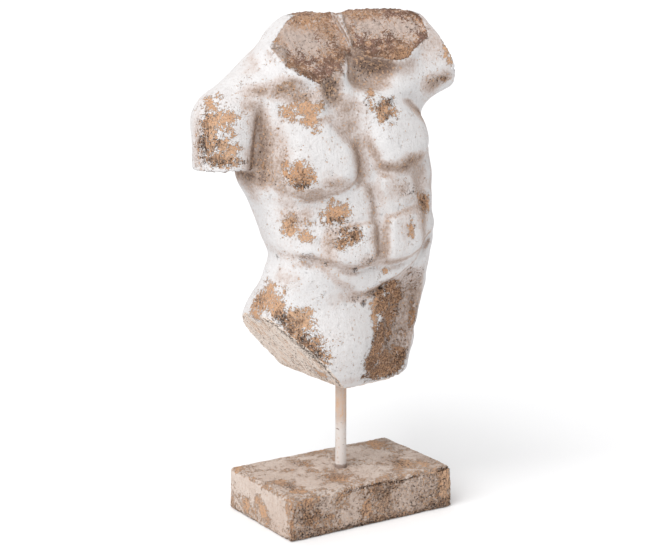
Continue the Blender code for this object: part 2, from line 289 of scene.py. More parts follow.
def torso(P):
    """Signed distance of the figure, in parts."""
    y = P[..., 1] - section(P[..., 2], 2)
    d = trunk(P) - front_relief(P) * step(6, -26, y) - back_relief(P) * step(2, 26, y)
    # the top of the trunk falls away to the shoulders and the collar
    d = trim(d, P, (-90, 0, 408), (-0.52, -0.35, 0.80), 24)
    d = trim(d, P, (60, 0, 436), (0.10, -0.55, 0.80), 24)
    # hips and lower front
    d = union(d, ellipsoid(P, (-42, 34, 176), (38, 36, 46)), 14)
    d = union(d, ellipsoid(P, (34, 34, 180), (38, 34, 46)), 14)
    d = union(d, ellipsoid(P, (-20, -19, 168), (46, 30, 44)), 10)
    # line of the shoulders
    ridge = limb(P, (-111, 13, 373), (-32, 16, 427), 31, 33)
    ridge = union(ridge, limb(P, (-32, 16, 427), (70, 14, 434), 33, 33), 10)
    ridge = union(ridge, limb(P, (70, 14, 434), (108, 8, 422), 33, 29), 10)
    d = union(d, ridge, 14)
    # right arm, broken off level
    arm = limb(P, (-113, 12, 373), (-114, 11, 300), 31, 30)
    arm = trim(arm, P, *ARM_CUT, 3)
    d = union(d, arm, 5)
    d = cut(d, ellipsoid(P, (-97, -28, 356), (5.5, 15, 40), (0, 4, 0)), 8)
    # left arm, broken off at the shoulder
    d = union(d, limb(P, (76, 2, 404), (110, 0, 422), 27, 27), 12)
    d = trim(d, P, *SHOULDER_CUT, 3)
    # the collar sinks in front of the neck
    d = cut(d, ellipsoid(P, (-8, -54, 430), (60, 34, 32)), 12)
    # neck and the broken mass beside it
    near = common(ellipsoid(P, (-38, -1, 430), (43, 36, 200)), 385 - P[..., 2], 4)
    near = trim(near, P, (-54, 0, 455), (-0.50, 0, 0.87), 4)
    far = common(ellipsoid(P, (41, 0, 430), (37, 31, 200)), 395 - P[..., 2], 4)
    d = union(union(d, near, 8), far, 8)
    near_face, far_face = neck_faces(P)
    d = cut(cut(d, near_face, 2.5), far_face, 2.5)
    # low ridge left between the two faces, and the hollows under them down to the collar bones
    d = cut(d, neck_cutter(P, (0, -3, 454), NEAR_WAY, (0, -6, 450), (30, 44, 200)), 3)
    for centre, radii in NECK_HOLLOWS:
        d = cut(d, ellipsoid(P, centre, radii), 10)
    d = trim(d, P, (0, 0, TOP_PARTS), (0, 0, 1), 6)
    # right thigh sawn away, left thigh broken out
    d = trim(d, P, *THIGH_CUT, 4)
    d = cut(d, thigh_scoop(P), 3)
    d = union(d, limb(P, (74, -16, 214), (68, -4, 156), 6, 7), 9)
    d = cut(d, ellipsoid(P, (85, -8, 168), (12, 26, 7)), 3)
    d = cut(d, ellipsoid(P, (-7, 68, 146), (6, 24, 56)), 14)
    return trim(d, P, (0, 0, FOOT_PARTS), (0, 0, -1), 8)


# Patches where the wash has flaked: place on the surface, half width, half height and strength, in parts
FLAKED = (
    (-73, -29, 383, 8.6, 6.9, 0.95), (-58, -34, 386, 10.3, 6.9, 1.1), (-46, -36, 388, 5.2, 5.2, 1),
    (-56, -37, 377, 8.6, 6.9, 1), (-55, -42, 369, 5.2, 4.5, 0.8), (-67, -29, 389, 10.3, 5.2, 0.7),
    (-82, -37, 340, 4.5, 8.6, 0.8), (-74, -45, 338, 4.8, 8.6, 0.85), (-67, -46, 344, 4.5, 2.1, 0.6),
    (-76, -45, 331, 10.3, 8.6, 1.1), (-71, -49, 329, 10.3, 8.6, 1.1), (-73, -47, 321, 8.6, 4.1, 0.9),
    (-83, -38, 332, 5.2, 10.3, 0.7), (9, -34, 397, 4.5, 8.6, 0.95), (6, -41, 383, 4.5, 4.5, 0.7),
    (17, -43, 382, 10.3, 6.9, 1), (26, -44, 379, 6.9, 6.9, 0.9), (15, -45, 376, 6.9, 5.8, 1),
    (24, -47, 369, 5.2, 3.4, 0.7), (22, -41, 388, 8.6, 6.9, 0.8), (-75, -33, 284, 7.2, 9.5, 1.05),
    (-74, -35, 290, 8.6, 4.5, 0.8), (-64, -42, 275, 7.7, 5.8, 1), (-63, -42, 285, 10.3, 8.6, 0.5),
    (-38, -51, 294, 10.7, 8.6, 1.15), (-43, -49, 289, 7.7, 6.9, 0.9), (-41, -47, 305, 4.1, 4.1, 0.8),
    (-38, -57, 265, 4.5, 4.1, 0.8), (-27, -58, 273, 10.3, 8.6, 0.95), (-34, -58, 270, 10.3, 6.9, 0.8),
    (38, -58, 274, 3.8, 8.6, 0.9), (65, -40, 293, 6.9, 8.6, 1.1), (57, -41, 302, 10.3, 6.9, 0.6),
    (15, -51, 237, 4.5, 3.1, 1), (57, -50, 279, 2.4, 2.4, 0.9), (-81, -5, 219, 10.3, 10.3, 1),
    (-83, 4, 209, 10.3, 10.3, 1.05), (-80, -14, 209, 10.3, 10.3, 0.95), (-74, -23, 223, 3.4, 6.9, 0.7),
    (-80, -17, 204, 10.3, 6.9, 0.9), (-84, 13, 206, 8.6, 8.6, 1), (-67, -29, 198, 13.8, 10.3, 1.1),
    (-70, -27, 193, 8.6, 10.3, 1), (-59, -33, 196, 8.6, 6.9, 0.9), (-66, -30, 183, 10.3, 10.3, 1),
    (-57, -38, 173, 12, 12, 0.95), (-49, -42, 168, 8.6, 8.6, 0.85), (-41, -45, 164, 5.2, 5.2, 0.7),
    (-49, -41, 159, 8.6, 6.9, 0.9), (-56, -37, 183, 10.3, 6.9, 0.6), (12, -43, 206, 6.5, 12, 1.15),
    (16, -44, 215, 5.2, 8.6, 1), (9, -42, 194, 4.1, 5.2, 1.1), (11, -42, 182, 3.1, 10.3, 1),
    (-128, 0, 398, 4.1, 5.2, 0.8), (-135, -2, 391, 6.9, 6.9, 0.9), (-131, -13, 380, 15.5, 8.6, 0.95),
    (-139, -5, 376, 10.3, 10.3, 1), (-130, -15, 373, 6.9, 8.6, 0.8), (-140, -3, 358, 10.3, 12, 1),
    (-131, -13, 357, 10.3, 10.3, 0.8), (-124, -17, 354, 8.6, 6.9, 0.9), (-134, -11, 346, 18.9, 6.9, 0.95),
    (-121, -18, 344, 6.9, 6.9, 0.8), (-123, -18, 368, 3.4, 5.2, 0.8), (99, -25, 431, 3.4, 10.3, 0.9),
    (102, -27, 420, 3.1, 8.6, 0.8), (98, -24, 403, 6.9, 3.4, 0.7), (39, -47, 315, 8.5, 8.4, 0.5),
    (-31, -8, 135, 11.3, 4.7, 0.8), (-38, 25, 142, 8.5, 5.6, 0.35), (-100, -2, 414, 9.4, 7.4, 0.35),
    (-93, -18, 337, 11.3, 11.2, 0.45), (-69, -27, 406, 18.8, 5.6, 0.6), (-38, -36, 406, 9.4, 5.6, 0.5),
    (68, -19, 178, 4.7, 14.9, 0.8), (47, -26, 140, 12.2, 13, 0.8), (24, -32, 134, 13.2, 5.6, 0.85),
    (-135, 4, 394, 7.5, 7.4, 0.85), (-88, 12, 196, 9, 9, 1), (-36, -20, 140, 12, 6, 0.9),
    (-68, 60, 384, 12, 9, 0.8), (34, 64, 352, 9, 12, 0.75), (66, 44, 236, 10, 14, 0.8),
    (-36, 66, 214, 13, 9, 0.8), (48, 62, 168, 10, 8, 0.7), (-132, 36, 352, 9, 14, 0.8),
    (96, 6, 300, 9, 16, 0.75), (100, 22, 392, 9, 9, 0.7), (88, -6, 236, 8, 12, 0.7),
)
# Dark smudges and specks, laid out in the same way; the rows in the neck hollows, the armpit and under the
# left shoulder are painted shade there
STAINS_AND_SHADE = (
    (-76, -45, 326, 10.3, 8.6, 0.5), (-73, -47, 321, 8.6, 2.8, 1.2), (-71, -49, 327, 8.6, 5.2, 0.7),
    (26, -40, 389, 4.8, 3.8, 1.3), (13, -42, 386, 8.6, 8.6, 0.7), (1, -38, 389, 2.8, 5.2, 0.9),
    (22, -44, 377, 8.6, 6.9, 0.6), (-74, -46, 334, 5.8, 5.2, 0.5), (-39, -50, 288, 10.3, 5.2, 0.75),
    (-30, -55, 280, 8.6, 6.9, 0.8), (-25, -58, 276, 11.2, 9.5, 0.85), (-34, -57, 272, 10.3, 8.6, 0.65),
    (-37, -53, 279, 10.3, 6.9, 0.8), (65, -39, 294, 5.8, 6.9, 0.8), (43, -48, 306, 8.6, 5.2, 0.8),
    (44, -54, 285, 3.4, 10.3, 0.5), (-75, -33, 287, 5.2, 6.9, 0.45), (-77, -21, 198, 7.7, 7.7, 1.1),
    (-71, -26, 188, 6.9, 6.9, 0.9), (-62, -34, 178, 10.3, 10.3, 1), (-54, -40, 166, 9.5, 10.3, 1),
    (-83, 8, 210, 8.6, 8.6, 0.6), (-67, -29, 196, 8.6, 8.6, 0.6), (-41, -43, 151, 8.6, 6.9, 0.6),
    (-40, -45, 178, 6.9, 6.9, 0.5), (-142, 2, 356, 5.2, 20.6, 1), (-136, -9, 357, 8.6, 10.3, 0.7),
    (-134, -11, 342, 20.6, 4.5, 0.9), (-141, -2, 378, 6.9, 10.3, 0.6), (-116, -19, 342, 6.9, 3.4, 0.9),
    (-138, -6, 344, 10.3, 5.2, 0.8), (-4, -44, 208, 2.4, 2.8, 2.2), (4, -43, 216, 8.6, 4.5, 0.9),
    (-14, -43, 212, 6.9, 3.4, 0.8), (11, -50, 226, 6.9, 4.5, 0.8), (-62, -38, 256, 6.9, 3.8, 0.8),
    (-46, -46, 248, 3.8, 2.1, 0.9), (-18, -51, 242, 2.8, 2.4, 1.5), (-9, -60, 249, 8.6, 5.8, 0.85),
    (15, -44, 220, 2.1, 2.1, 1.6), (-75, -10, 253, 1.7, 2.4, 1.5), (-56, -40, 233, 1.4, 1.7, 1.3),
    (-47, -47, 250, 1.4, 1.7, 1.5), (-92, -17, 353, 6.6, 11.2, 0.35), (-93, -19, 330, 9.4, 8.4, 0.6),
    (-35, -37, 399, 8.5, 9.3, 0.9), (10, -25, 414, 13.2, 6.5, 0.8), (-64, -30, 400, 20.7, 5.6, 0.45),
    (92, -24, 403, 11.3, 3.7, 0.7), (44, -18, 178, 8.5, 33.5, 0.45), (55, -22, 141, 8.5, 9.3, 0.6),
)
# Soft brown soiling and painted shade in the valleys, the neck hollows and the armpit, laid out in the same
# way
SOIL_AND_SHADE = (
    (-93, -15, 402, 12, 4.5, 0.9), (-76, -22, 402, 13.8, 5.8, 0.95), (-61, -28, 396, 12, 4.5, 1),
    (-70, -24, 409, 10.3, 4.1, 0.7), (-34, -34, 404, 7.5, 9.5, 1.6), (-27, -32, 393, 6.9, 6.9, 0.95),
    (-41, -35, 408, 5.2, 3.4, 1), (11, -18, 425, 9.5, 9.5, 1.9), (26, -20, 418, 13, 7, 1.9),
    (41, -27, 418, 13.8, 5.2, 0.75), (3, -19, 407, 6.9, 8.6, 0.9), (55, -28, 420, 8.6, 6.9, 0.6),
    (-19, -35, 384, 8.6, 8.6, 0.7), (-15, -36, 368, 8.6, 10.3, 0.75), (-8, -39, 351, 6.9, 10.3, 0.8),
    (-7, -42, 338, 5.8, 10.3, 0.8), (-9, -45, 330, 6.9, 8.6, 0.85), (-97, -16, 379, 5.8, 15.5, 0.7),
    (-92, -17, 357, 5.8, 15.5, 0.7), (-98, -13, 338, 8.6, 10.3, 0.8), (-95, -18, 325, 7.6, 6.9, 0.9),
    (-103, -17, 390, 6.9, 5.2, 0.7), (-40, -54, 321, 12, 4.1, 0.75), (-60, -49, 315, 12, 3.4, 0.7),
    (21, -49, 331, 12, 3.8, 0.9), (44, -48, 334, 9.5, 5.5, 1.2), (58, -42, 336, 5.2, 5.2, 0.9),
    (84, -25, 400, 8.6, 6.9, 0.95), (97, -25, 405, 6.9, 5.2, 0.9), (19, -48, 329, 9.3, 3.7, 0.7),
    (38, -48, 330, 9.5, 5, 1.2), (-3, -50, 309, 4.7, 8.4, 0.6), (-1, -53, 291, 4.7, 11.2, 0.7),
    (-1, -59, 272, 4.7, 11.2, 0.8), (2, -57, 256, 6.5, 7.4, 0.85), (60, -43, 290, 4.7, 16.7, 0.7),
    (33, -49, 308, 11.2, 8.4, 0.5), (33, -58, 276, 5.6, 13, 0.35), (-99, -4, 316, 8.4, 11.2, 0.5),
    (-72, -30, 255, 9.3, 3.7, 0.45), (-64, -36, 249, 8.4, 3.7, 0.5), (-46, -46, 247, 9.3, 3.7, 0.4),
    (-31, -50, 243, 8.4, 3.7, 0.35), (-7, -60, 251, 7.4, 4.7, 0.6), (-29, -43, 215, 8.4, 3.7, 0.3),
    (-12, -42, 214, 8.4, 3.7, 0.6), (6, -44, 218, 9.3, 3.7, 0.7), (25, -45, 224, 8.4, 3.7, 0.6),
    (45, -44, 231, 7.4, 3.7, 0.5), (-70, -38, 293, 11.2, 8.4, 0.35), (-45, -51, 269, 4.7, 11.2, 0.4),
    (-44, -52, 253, 7.4, 5.6, 0.5), (-74, -25, 236, 11.2, 7.4, 0.3), (-24, -40, 136, 13, 2.8, 0.3),
    (-144, 6, 362, 3.7, 22.3, 0.5), (62, -34, 318, 9, 16, 0.5), (86, -22, 436, 16, 18, 0.45),
)
# Folds where the soil and painted shade of the hollows are made fainter
FOLDS_EASED = (
    (-62, -36, 252, 20, 8, 0.7), (-32, -50, 246, 24, 9, 0.9), (-4, -58, 246, 20, 9, 0.8),
    (30, -50, 238, 24, 9, 0.9), (-26, -45, 222, 20, 12, 1), (-6, -44, 214, 16, 8, 0.6),
    (28, -47, 226, 20, 8, 0.7), (-1, 58, 160, 12, 40, 0.8),
)
# Paler scraped parts of the broken faces
SCRAPED = (
    (-47, 1, 449, 22.4, 7.9, 1.1), (-41, -8, 440, 18.9, 7.6, 0.95), (-72, -8, 439, 10.3, 6.9, 0.9),
    (-55, 7, 455, 8.6, 5.2, 0.8), (-2, -8, 446, 6.9, 8.6, 0.9), (-43, -23, 423, 5.2, 3.4, 0.5),
    (32, -3, 454, 15.5, 7.6, 1), (58, -9, 452, 15.5, 5.8, 1), (5, 3, 460, 10.3, 5.8, 0.9),
    (61, -17, 444, 6.9, 5.2, 0.7), (56, -8, 165, 5, 24, 0.6), (68, -14, 196, 4, 24, 0.8),
)
# Tan and ochre parts of the neck faces
OCHRE = (
    (-30, 10, 459, 15.5, 6.9, 1), (-15, 12, 462, 8.6, 5.2, 0.9), (-13, 2, 451, 10.3, 5.8, 0.7),
    (-72, -3, 444, 6.9, 8.6, 0.9), (-73, -20, 426, 6.9, 6.9, 1), (-68, -26, 417, 10.3, 5.2, 0.8),
    (-1, -8, 448, 5.2, 12, 0.9), (25, 8, 464, 15.5, 3.8, 1), (51, -27, 430, 12, 6.9, 0.9),
    (-15, -16, 431, 10.3, 6.9, 0.5), (33, -27, 426, 10.3, 3.4, 0.7),
)
# Washed lips that stand round the near neck face
LIPS = (
    (-78, -13, 429, 8.6, 12, 1.2), (-73, -23, 415, 10.3, 6.9, 1.2), (-64, -28, 410, 10.3, 4.1, 1.2),
    (-23, -33, 410, 6.9, 6.9, 1.2), (-7, -21, 415, 5.8, 10.3, 1.2), (-32, -34, 409, 8.6, 3.4, 1.1),
    (8, -16, 430, 4.1, 8.6, 1.1),
)
# Stippled band, outer patch and low lump of the thigh's break
THIGH_RAW = (
    (27, -45, 218, 8.6, 6.9, 1), (48, -21, 203, 6.9, 10.3, 1), (23, -42, 201, 8.6, 12, 1),
    (44, -18, 183, 7.7, 12, 1), (21, -39, 176, 8.3, 12, 1), (13, -42, 164, 9.5, 10.3, 1),
    (9, -41, 152, 10.3, 8.6, 1), (29, -34, 155, 6.9, 6.9, 0.8), (48, -25, 145, 8.6, 12, 1.1),
    (28, -33, 138, 20, 7.5, 1.1), (30, -31, 149, 14, 9, 1), (40, -22, 168, 5, 14, 0.8),
    (67, -19, 180, 4.5, 10.3, 0.85), (65, -21, 195, 3.1, 10.3, 0.7), (61, -24, 210, 2.4, 10.3, 0.6),
)
# Washed ridge down the thigh's break
THIGH_RIDGE = (
    (55, -28, 219, 2.4, 10.3, 1), (59, -19, 199, 2.8, 10.3, 1), (58, -17, 183, 3.1, 8.6, 1),
    (53, -17, 169, 3.8, 6.9, 1), (54, -18, 162, 8.6, 3.8, 1),
)
# Tan ends of the sawn face
SAWN_TAN = ((-88, 12, 196, 9, 9, 1.1), (-36, -20, 140, 12, 6, 1))
ACROSS = np.array([0.842, -0.540, 0.0])  # along the width of a patch, as the front turns


def blots(P, marks):
    """How strongly a point lies in any of the patches: 1 in the middle, 0.5 at the edge, 0 outside."""
    best = np.zeros(len(P))
    for x, y, z, wide, high, strength in marks:
        q = P - np.array([x, y, z], float)
        deep = q @ np.cross(ACROSS, [0, 0, 1.0]) / (1.3 * max(wide, high))
        reach = np.sqrt((q @ ACROSS / wide) ** 2 + (q[:, 2] / high) ** 2 + deep ** 2)
        best = np.maximum(best, strength * unit(1 - 0.5 * reach))
    return best


def breaks(P, normals):
    """The rough breaks, the sawn faces, the front rim of the sawn thigh and the tan parts of the breaks."""
    def skin(cutter, reach, facing=None):
        share = unit(1.4 - np.abs(cutter) / reach)
        if facing is None:
            return share
        n = np.array(facing, float)
        return share * step(0.45, 0.8, normals @ (n / np.sqrt((n * n).sum())))

    def face(plane, reach):
        return skin(beyond(P, *plane), reach, plane[1])

    near, far = neck_faces(P)
    raw = np.maximum.reduce([
        np.maximum(skin(near, 2.5, NEAR_WAY), skin(far, 2.5, FAR_WAY)) * (1 - unit(blots(P, LIPS))),
        skin(P[:, 2] - TOP_PARTS, 3.5, (0, 0, 1)),
        0.95 * skin(ellipsoid(P, (1, 2, 462), (14, 20, 26)), 12.0, (0, -0.6, 0.8)),
        0.34 * skin(thigh_scoop(P), 6.0) * step(60, 20, P[:, 1]),
        0.9 * face(ARM_CUT, 3.0) * (P[:, 0] < -84),
        0.9 * face(SHOULDER_CUT, 2.5),
        1.05 * blots(P, THIGH_RAW) * (1 - unit(blots(P, THIGH_RIDGE)))])
    sawn = np.maximum(face(THIGH_CUT, 3.0), skin(P[:, 2] - FOOT_PARTS, 3.0, (0, 0, -1)))
    sawn = sawn * (1 - 0.9 * unit(blots(P, SAWN_TAN)))
    rim = skin(beyond(P, *THIGH_CUT), 1.5) * (normals[:, 1] < -0.1)
    tan = unit(np.maximum(step(250, 230, P[:, 2]) * (P[:, 0] > -30), 1.2 * blots(P, OCHRE)))
    return raw, sawn, rim, tan


def hollows(P, normals, steepness):
    """How far the surface closes in round a point, over four reaches, and how sharply it turns outwards."""
    closed = sum(share * unit(1 - torso(P + normals * reach) / (steepness * reach))
                 for reach, share in ((5, 0.15), (11, 0.25), (22, 0.5), (38, 0.75)))
    return unit(closed), unit(1 + torso(P - normals * 5) / (steepness * 5))


def by_math(operation, swapped=False):
    """A method of Link that adds one Math node."""
    def method(self, other):
        return self.math(operation, *((other, self) if swapped else (self, other)))
    return method


class Link:
    """A socket of a node tree. Arithmetic on it adds Math nodes, and node() adds any other node."""

    def __init__(self, tree, socket=None):
        self.tree, self.socket = tree, socket

    def node(self, kind, settings=None, sockets=None, output=0):
        made = self.tree.nodes.new(kind)
        for name, value in (settings or {}).items():
            setattr(made, name, value)
        for name, value in (sockets or {}).items():
            if isinstance(value, Link):
                self.tree.links.new(value.socket, made.inputs[name])
            else:
                made.inputs[name].default_value = value
        return Link(self.tree, made.outputs[output] if len(made.outputs) else None)

    def math(self, operation, first, second=0.0):
        return self.node("ShaderNodeMath", {"operation": operation}, {0: first, 1: second})

    __add__ = __radd__ = by_math("ADD")
    __sub__, __rsub__ = by_math("SUBTRACT"), by_math("SUBTRACT", swapped=True)
    __mul__ = __rmul__ = by_math("MULTIPLY")
    __truediv__, most = by_math("DIVIDE"), by_math("MAXIMUM")

    def between(self, low, high):
        """0 below low and 1 above high, smooth in between."""
        return self.node("ShaderNodeMapRange", {"interpolation_type": "SMOOTHSTEP"},
                         {"Value": self, "From Min": low, "From Max": high})

    def vector(self, operation, first, second=(0, 0, 0), output=0):
        return self.node("ShaderNodeVectorMath", {"operation": operation}, {0: first, 1: second}, output)

    def scaled(self, way, by):
        return self.node("ShaderNodeVectorMath", {"operation": "SCALE"}, {"Vector": way, "Scale": by})

    def joined(self, **parts):
        return self.node("ShaderNodeCombineXYZ", sockets=parts)

    def part(self, way, axis):
        return self.node("ShaderNodeSeparateXYZ", sockets={"Vector": way}, output=axis)

    def squeeze(self, place, way, share):
        """Position with its run along a direction shortened, so that noise read there streaks that way."""
        run = self.vector("DOT_PRODUCT", place, way, output=1)
        return self.vector("SUBTRACT", place, self.scaled(way, run * share))

    def noise(self, place, scale, detail=3.0, roughness=0.55, stretch=None):
        if stretch:
            place = self.vector("MULTIPLY", place, stretch)
        return self.node("ShaderNodeTexNoise", {"noise_dimensions": "3D"},
                         {"Vector": place, "Scale": scale, "Detail": detail, "Roughness": roughness})

    def mix(self, share, first, second):
        """Colour that goes from first to second with the share."""
        first, second = (v if isinstance(v, Link) else (*v, 1) for v in (first, second))
        return self.node("ShaderNodeMix", {"data_type": "RGBA"}, {0: share, 6: first, 7: second}, output=2)

    def coats(self, paint, *layers):
        """The paint with each layer's colour laid over it where the layer's share says."""
        for share, colour in layers:
            paint = self.mix(share, paint, colour)
        return paint


def flaking(tree, place, wear, soft=0.0):
    """Where the wash is gone, and the ragged noise that its edge follows."""
    ragged = (0.26 * tree.noise(place, 95, 3, 0.6) + 0.42 * tree.noise(place, 310, 4, 0.70)
              + 0.32 * tree.noise(place, 850, 3, 0.6))
    gone = (wear + 3.4 * (ragged - 0.5)).between(0.48 - soft, 0.54 + soft)
    return gone, ragged


def surface_value(tree, name):
    return tree.node("ShaderNodeAttribute", {"attribute_type": "GEOMETRY", "attribute_name": name}, output=2)


def open_material(name):
    """A new material with no nodes yet, its tree and the place on the piece."""
    mat = bpy.data.materials.new(name)
    mat.use_nodes = True
    mat.node_tree.nodes.clear()
    t = Link(mat.node_tree)
    return mat, t, t.node("ShaderNodeTexCoord", output=3)


def close_material(t, paint, rough, gloss, relief, strength, distance):
    bump = t.node("ShaderNodeBump", sockets={"Strength": strength, "Distance": distance, "Height": relief})
    shader = t.node("ShaderNodeBsdfPrincipled", sockets={
        "Base Color": paint, "Roughness": rough, "Normal": bump, "Specular IOR Level": gloss})
    t.node("ShaderNodeOutputMaterial", sockets={"Surface": shader})


def cast_material(name, colours, wash, streaks, cloudy=0.0, soft=0.0):
    """Flaked wash over tan cast, with brown soil and painted shade in the hollows, dark smudges and bare
    broken faces.
    """
    mat, t, place = open_material(name)
    wear, stain, grime, raw, sawn, pale, tan = (
        surface_value(t, k) for k in ("wear", "stain", "grime", "raw", "sawn", "pale", "tan"))
    broad, cloud = t.noise(place, 14, 3), t.noise(place, 46, 4, 0.6)
    fine, grit = t.noise(place, 420, 4, 0.65), t.noise(place, 1500, 2, 0.5)
    brushed = t.noise(place, 240, 4, 0.65, stretch=streaks)
    scratch = t.noise(place, 520, 3, 0.6, stretch=(1.0, 1.0, 0.35))
    about_cloud, about_fine, about_scratch = cloud - 0.5, fine - 0.5, scratch - 0.5
    if cloudy:
        wear = wear + cloudy * (0.5 * broad + 0.5 * cloud - 0.5)
    gone, ragged = flaking(t, place, wear, soft)
    about_ragged = ragged - 0.5
    gone = gone * (1.0 - 0.85 * t.noise(place, 560, 4, 0.7).between(0.57, 0.63))

    # wash: full colour where it is thick, blush where it is thin; blush, brown soil and smudges also follow
    # how closed the surface is, painting the shade of the hollows as well as their soiling
    thick, shade, blush_and_shade = wash
    thin_wash_and_shade = (grime + 0.9 * about_cloud + 0.7 * about_fine + 0.3 * (brushed - 0.5)).between(0.02, 0.42)
    soiled_and_shaded = (grime + 0.7 * about_cloud + 1.1 * about_fine + 0.6 * about_scratch).between(0.28, 0.82)
    deep = (grime + 0.5 * about_cloud + 1.0 * about_fine + 0.5 * about_scratch).between(0.74, 1.10)
    dots = (t.noise(place, 380, 3, 0.6) + 0.10 * grime + 0.05 * stain).between(0.65, 0.69)
    paint = t.coats(shade, ((0.35 * broad + 0.30 * brushed + 0.35 * fine).between(0.38, 0.56), thick),
                    (thin_wash_and_shade * 0.85, blush_and_shade), (soiled_and_shaded * 0.9, colours.soil_and_shade), (deep * 0.85, colours.smudge_and_shade),
                    (dots * 0.75, colours.clay_light))

    # bare cast under the wash: tan with scratched brown middles
    dark = (0.8 * stain + 0.15 * wear + 2.2 * about_scratch + 1.8 * about_fine).between(0.30, 0.74)
    bare = t.mix((broad * 0.4 + fine * 0.6).between(0.42, 0.58), colours.clay, colours.clay_light)
    if cloudy:
        bare = t.mix((0.6 * cloud + 0.4 * fine).between(0.47, 0.60) * 0.6, bare, colours.soil_and_shade)
    paint = t.mix(gone, paint, t.mix(dark * 0.75, bare, colours.earth))

    # broken faces: mauve brown with ochre grains, pale scraped flecks and dark cracks, the tan ones stippled
    grain, chips = t.noise(place, 300, 5, 0.75), t.noise(place, 130, 5, 0.75)
    flecks = (0.65 * t.noise(place, 520, 4, 0.7) + 0.35 * chips + 0.22 * pale).between(0.55, 0.60)
    cracks = (0.6 * grain + 0.4 * t.noise(place, 760, 3, 0.7)).between(0.44, 0.37)
    stone = t.coats(colours.earth, ((0.5 * cloud + 0.5 * grain).between(0.42, 0.58), colours.mauve),
                    ((chips + 0.20 * pale).between(0.51, 0.58) * 0.9, colours.clay),
                    (flecks * 0.85, colours.chalk), (cracks * 0.85, colours.smudge_and_shade))
    stipple = (t.noise(place, 700, 3, 0.6) + 0.25 * about_cloud - 0.18 * pale).between(0.44, 0.56)
    coarse = t.coats(colours.clay, (stipple, colours.earth),
                     ((fine + 0.18 * pale).between(0.60, 0.68) * 0.8, colours.chalk))
    broken = (raw + 3.0 * about_ragged).between(0.42, 0.56)
    paint = t.mix(broken, paint, t.mix(tan, stone, coarse))

    # sawn faces: cream with fine brown streaks along the cut
    rubbed = t.noise(t.squeeze(place, (0.68, 0.0, -0.73), 0.94), 470, 5, 0.7)
    cream = t.coats(colours.clay_light, (rubbed.between(0.37, 0.50), colours.cream),
                    ((0.35 * rubbed + 0.65 * cloud).between(0.46, 0.37) * 0.8, colours.clay_light),
                    ((fine + 0.3 * cloud).between(0.70, 0.77) * 0.8, colours.earth))

    # dark specks and pits, thick in the smudges and few elsewhere
    smudge_and_shade = (0.95 * stain + 1.5 * about_fine + 1.1 * about_scratch).between(0.56, 1.00)
    speck = t.noise(place, 600, 3, 0.55) + 0.16 * stain + 0.05 * grime + 0.04 * gone + 0.04 * raw
    black = speck.between(0.715, 0.755)
    paint = t.coats(paint, ((sawn + 1.4 * about_ragged).between(0.42, 0.6) * 0.92, cream),
                    (smudge_and_shade * 0.45, colours.soot_thin), (black * 0.85, colours.soot))

    relief = (-0.8 * gone + 0.5 * brushed + 0.7 * fine + 0.3 * grit - 0.9 * black - 0.3 * dots
              + broken * (1.3 * grain + 1.2 * chips - 0.7 * cracks) + 0.45 * sawn * rubbed)
    close_material(t, paint, 0.80 + 0.12 * gone + 0.08 * about_fine, 0.3, relief, 0.9, 0.0016)
    return mat


def open_tree(name, lengths, extra, kind):
    """A new tree with a mesh, some lengths and one more input, as a maker of nodes and its inputs by name."""
    tree = bpy.data.node_groups.new(name, "GeometryNodeTree")
    face = tree.interface
    face.new_socket("Geometry", in_out="INPUT", socket_type="NodeSocketGeometry")
    for label, value in lengths.items():
        socket = face.new_socket(label, in_out="INPUT", socket_type="NodeSocketFloat")
        socket.subtype, socket.default_value = "DISTANCE", value
    face.new_socket(extra, in_out="INPUT", socket_type=kind)
    face.new_socket("Geometry", in_out="OUTPUT", socket_type="NodeSocketGeometry")
    start = tree.nodes.new("NodeGroupInput")
    return Link(tree), {s.name: Link(tree, s) for s in start.outputs if s.name}


def sink_surface(t, geometry, sink, finish):
    """Move the surface inwards by a length, smooth it, give it the finish and close the tree."""
    offset = t.scaled(t.node("GeometryNodeInputNormal"), -1.0 * sink)
    moved = t.node("GeometryNodeSetPosition", sockets={"Geometry": geometry, "Offset": offset})
    smooth = t.node("GeometryNodeSetShadeSmooth", sockets={"Geometry": moved})
    real = t.node("GeometryNodeRealizeInstances", sockets={"Geometry": smooth})
    done = t.node("GeometryNodeSetMaterial", sockets={"Geometry": real, "Material": finish})
    t.node("NodeGroupOutput", sockets={"Geometry": done})
    return t.tree


def relief_tree(name):
    """Geometry nodes that sink the flaked patches by the wash's thickness, roughen breaks and dig pits."""
    t, given = open_tree(name, {"Film": 0.0004, "Coarse": 0.0016, "Pits": 0.0012, "Lumps": 0.0004},
                         "Finish", "NodeSocketMaterial")
    place = t.node("GeometryNodeInputPosition")
    wear, stain, raw, sawn, edge = (
        t.node("GeometryNodeInputNamedAttribute", {"data_type": "FLOAT"}, {"Name": label})
        for label in ("wear", "stain", "raw", "sawn", "edge"))
    gone, _ = flaking(t, place, wear)
    chips = t.noise(place, 130, 5, 0.75).between(0.36, 0.62)
    shards = t.node("ShaderNodeTexVoronoi", {"feature": "F1"},
                    {"Vector": place, "Scale": 170.0, "Randomness": 1.0})
    lumps = t.noise(place, 60, 3, 0.5).between(0.3, 0.7)
    pits = (t.noise(place, 330, 2, 0.5) + 0.16 * stain + 0.08 * raw + 0.05 * edge).between(0.68, 0.76)
    sink = (gone * given["Film"] + raw * given["Coarse"] * (0.6 * chips + 0.8 * shards)
            + sawn * given["Coarse"] * 0.35 * chips
            + pits * given["Pits"] + given["Lumps"] * lumps)
    return sink_surface(t, given["Geometry"], sink, given["Finish"])


